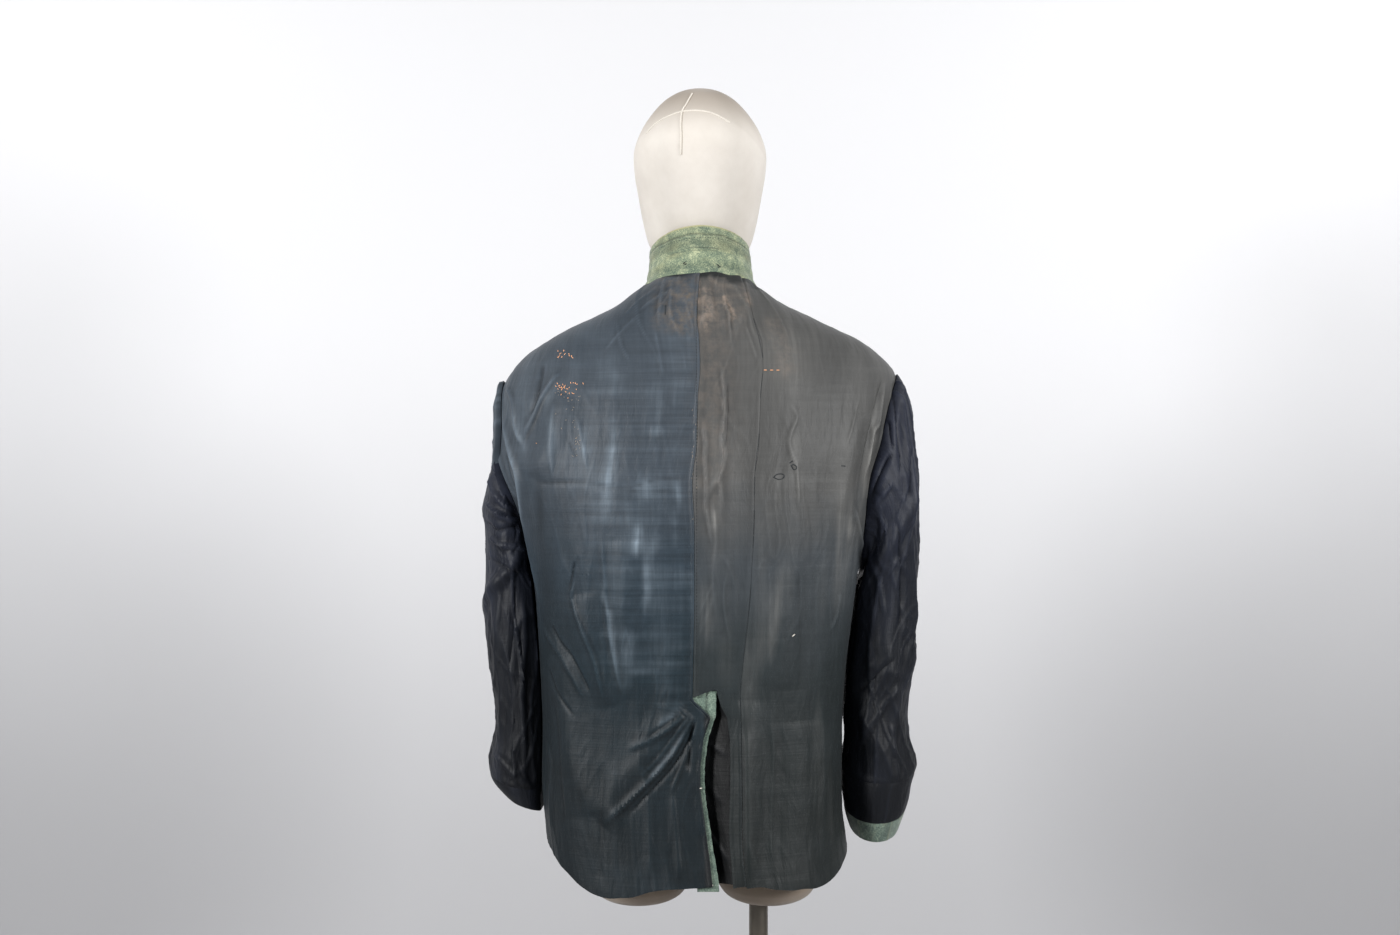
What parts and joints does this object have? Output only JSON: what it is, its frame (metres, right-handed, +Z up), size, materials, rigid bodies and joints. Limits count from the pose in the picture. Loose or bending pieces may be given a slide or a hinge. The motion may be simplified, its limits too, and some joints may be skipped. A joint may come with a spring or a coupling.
{
  "type": "inside-out military field jacket on a limbless dress form with a stand",
  "caption": "Military field jacket worn inside out, lining outwards, with a standing wool collar and an open back vent, on a limbless dress form with a pole and a round base plate.",
  "frame": {"origin": "centre of the base plate's underside, on the floor", "axes": "+Z up, -Y out of the jacket's back (the side the picture shows), +X towards the jacket's right-hand side"},
  "size_m": [0.5091, 0.38, 1.778],
  "materials": {
    "lining_slate": "satin",
    "lining_brown": "satin",
    "lining_black": "satin",
    "wool_green": "matte",
    "form_cloth": "matte",
    "stand_steel": "satin"
  },
  "bodies": {
    "root": {"back_left": "lining_slate", "back_right_centre": "lining_brown", "back_right_side": "lining_brown", "front_left": "lining_slate", "front_right": "lining_slate", "sleeve_left": "lining_black", "sleeve_right": "lining_black", "cuff_left": "lining_black", "cuff_right": "lining_black", "cuff_wool_right": "wool_green", "collar_stand": "wool_green", "collar_fall": "wool_green", "vent_wool_edge": "wool_green", "vent_underlap": "lining_black", "dress_form": "form_cloth", "stand_pole": "stand_steel", "stand_base": "stand_steel"}
  },
  "joints": []
}
